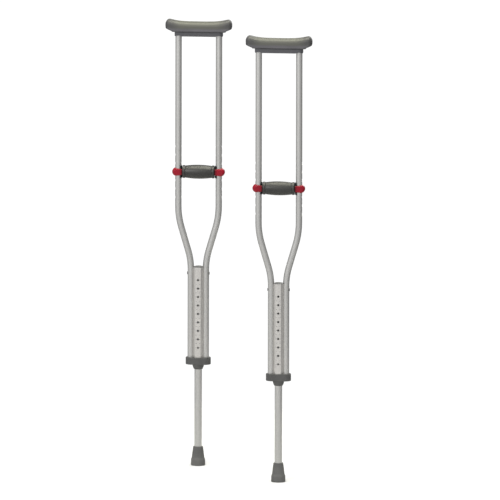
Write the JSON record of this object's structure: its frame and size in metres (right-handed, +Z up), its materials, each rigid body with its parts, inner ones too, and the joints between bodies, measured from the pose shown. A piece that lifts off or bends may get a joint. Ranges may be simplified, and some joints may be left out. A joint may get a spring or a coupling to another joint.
{
  "type": "underarm crutches",
  "caption": "Pair of aluminium underarm crutches: double-bow uprights, dished underarm pad, cross handgrip with pull-out red clips, telescoping leg with snap button, rubber tip.",
  "frame": {"origin": "floor level midway between the two standing crutches", "axes": "+Z up along the legs; X fore and aft, from each crutch's front upright to its rear one; -Y the outer faces, with the height buttons"},
  "size_m": [0.457, 0.304, 1.3362],
  "materials": {
    "pad_foam": "moulded closed-cell underarm pad with a satin skin",
    "saddle_plastic": "dark grey moulded plastic",
    "upright_aluminium": "satin anodised drawn tube",
    "leg_aluminium": "satin anodised drawn tube",
    "sleeve_aluminium": "satin anodised extrusion",
    "cap_plastic": "dark grey moulded plastic",
    "collar_plastic": "dark grey moulded plastic",
    "dark_steel": "blackened steel",
    "fixings": "zinc-plated steel",
    "spring_steel": "plated spring steel",
    "tip_rubber": "grey moulded rubber",
    "grip_foam": "dark grey moulded handgrip cover",
    "core_plastic": "black plastic",
    "black_plastic": "black moulded plastic",
    "red_plastic": "glossy red moulded plastic"
  },
  "bodies": {
    "left_frame": {"left_underarm_pad": "pad_foam", "left_pad_saddle": "saddle_plastic", "left_saddle_rivets": "fixings", "left_front_upright": "upright_aluminium", "left_rear_upright": "upright_aluminium", "left_sleeve": "sleeve_aluminium", "left_sleeve_cap": "cap_plastic", "left_cross_bolt": "dark_steel", "left_cross_nut": "dark_steel", "left_collar": "collar_plastic", "left_collar_screws": "fixings"},
    "left_leg": {"left_leg_tube": "leg_aluminium", "left_rubber_tip": "tip_rubber", "left_tip_washer": "fixings"},
    "left_button": {"left_snap_button": "spring_steel"},
    "left_grip": {"left_grip_cover": "grip_foam", "left_grip_core": "core_plastic", "left_front_grip_end": "black_plastic", "left_rear_grip_end": "black_plastic"},
    "left_front_clip": {"left_front_clip": "red_plastic", "left_front_clip_pin": "fixings"},
    "left_rear_clip": {"left_rear_clip": "red_plastic", "left_rear_clip_pin": "fixings"},
    "right_frame": {"right_underarm_pad": "pad_foam", "right_pad_saddle": "saddle_plastic", "right_saddle_rivets": "fixings", "right_front_upright": "upright_aluminium", "right_rear_upright": "upright_aluminium", "right_sleeve": "sleeve_aluminium", "right_sleeve_cap": "cap_plastic", "right_cross_bolt": "dark_steel", "right_cross_nut": "dark_steel", "right_collar": "collar_plastic", "right_collar_screws": "fixings"},
    "right_leg": {"right_leg_tube": "leg_aluminium", "right_rubber_tip": "tip_rubber", "right_tip_washer": "fixings"},
    "right_button": {"right_snap_button": "spring_steel"},
    "right_grip": {"right_grip_cover": "grip_foam", "right_grip_core": "core_plastic", "right_front_grip_end": "black_plastic", "right_rear_grip_end": "black_plastic"},
    "right_front_clip": {"right_front_clip": "red_plastic", "right_front_clip_pin": "fixings"},
    "right_rear_clip": {"right_rear_clip": "red_plastic", "right_rear_clip_pin": "fixings"}
  },
  "joints": [
    {"name": "right_crutch_spacing", "type": "slide", "parent": "left_frame", "child": "right_frame", "axis": [1, 0, 0], "range_m": [0, 0.4]},
    {"name": "left_leg_length", "type": "slide", "parent": "left_frame", "child": "left_leg", "axis": [0, 0, 1], "range_m": [0, 0.2032], "deforming": ["left_snap_button"]},
    {"name": "left_button_press", "type": "slide", "parent": "left_leg", "child": "left_button", "axis": [0, 1, 0], "range_m": [0, 0.005], "stiffness_N_per_m": 1000, "springref_m": -0.004, "deforming": ["left_snap_button"]},
    {"name": "left_grip_height", "type": "slide", "parent": "left_frame", "child": "left_grip", "axis": [0, 0, 1], "range_m": [-0.0762, 0.0762]},
    {"name": "left_front_clip_pull", "type": "slide", "parent": "left_grip", "child": "left_front_clip", "axis": [-1, 0, 0], "range_m": [0, 0.034]},
    {"name": "left_rear_clip_pull", "type": "slide", "parent": "left_grip", "child": "left_rear_clip", "axis": [1, 0, 0], "range_m": [0, 0.034]},
    {"name": "right_leg_length", "type": "slide", "parent": "right_frame", "child": "right_leg", "axis": [0, 0, 1], "range_m": [0, 0.2032], "deforming": ["right_snap_button"]},
    {"name": "right_button_press", "type": "slide", "parent": "right_leg", "child": "right_button", "axis": [0, 1, 0], "range_m": [0, 0.005], "stiffness_N_per_m": 1000, "springref_m": -0.004, "deforming": ["right_snap_button"]},
    {"name": "right_grip_height", "type": "slide", "parent": "right_frame", "child": "right_grip", "axis": [0, 0, 1], "range_m": [-0.0762, 0.0762]},
    {"name": "right_front_clip_pull", "type": "slide", "parent": "right_grip", "child": "right_front_clip", "axis": [-1, 0, 0], "range_m": [0, 0.034]},
    {"name": "right_rear_clip_pull", "type": "slide", "parent": "right_grip", "child": "right_rear_clip", "axis": [1, 0, 0], "range_m": [0, 0.034]}
  ]
}
